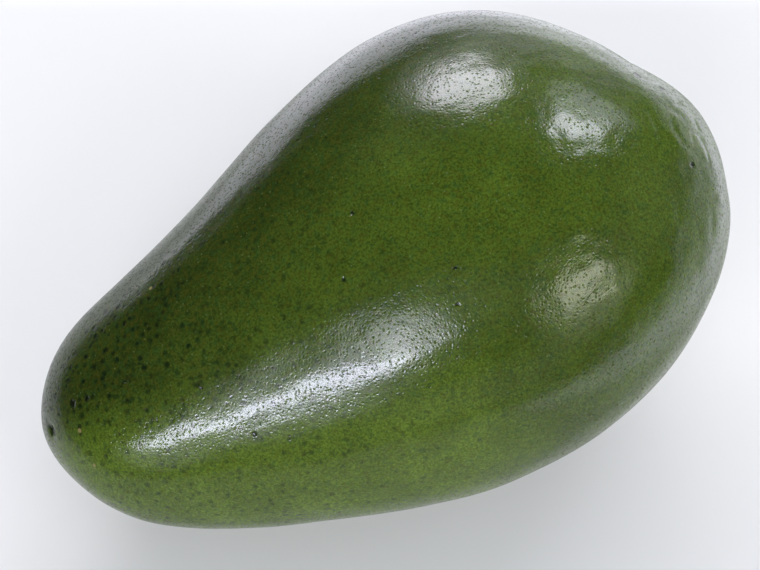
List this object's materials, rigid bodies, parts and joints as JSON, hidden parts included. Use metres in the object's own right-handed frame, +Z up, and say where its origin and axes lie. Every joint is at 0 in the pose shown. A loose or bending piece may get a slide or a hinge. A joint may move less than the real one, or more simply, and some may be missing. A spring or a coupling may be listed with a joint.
{
  "type": "avocado",
  "caption": "Pear-shaped green avocado lying on its side, with a slender stem end, a wide blossom end, glossy pebbled skin and dark pores.",
  "frame": {"origin": "on the surface that the fruit lies on, under the middle of its box", "axes": "+X from the stem end to the blossom end, +Z up, -Y towards the pictured side"},
  "size_m": [0.115, 0.0766, 0.0701],
  "materials": {
    "avocado": "glossy, finely pebbled olive-green skin"
  },
  "bodies": {
    "root": {"avocado": "avocado"}
  },
  "joints": []
}
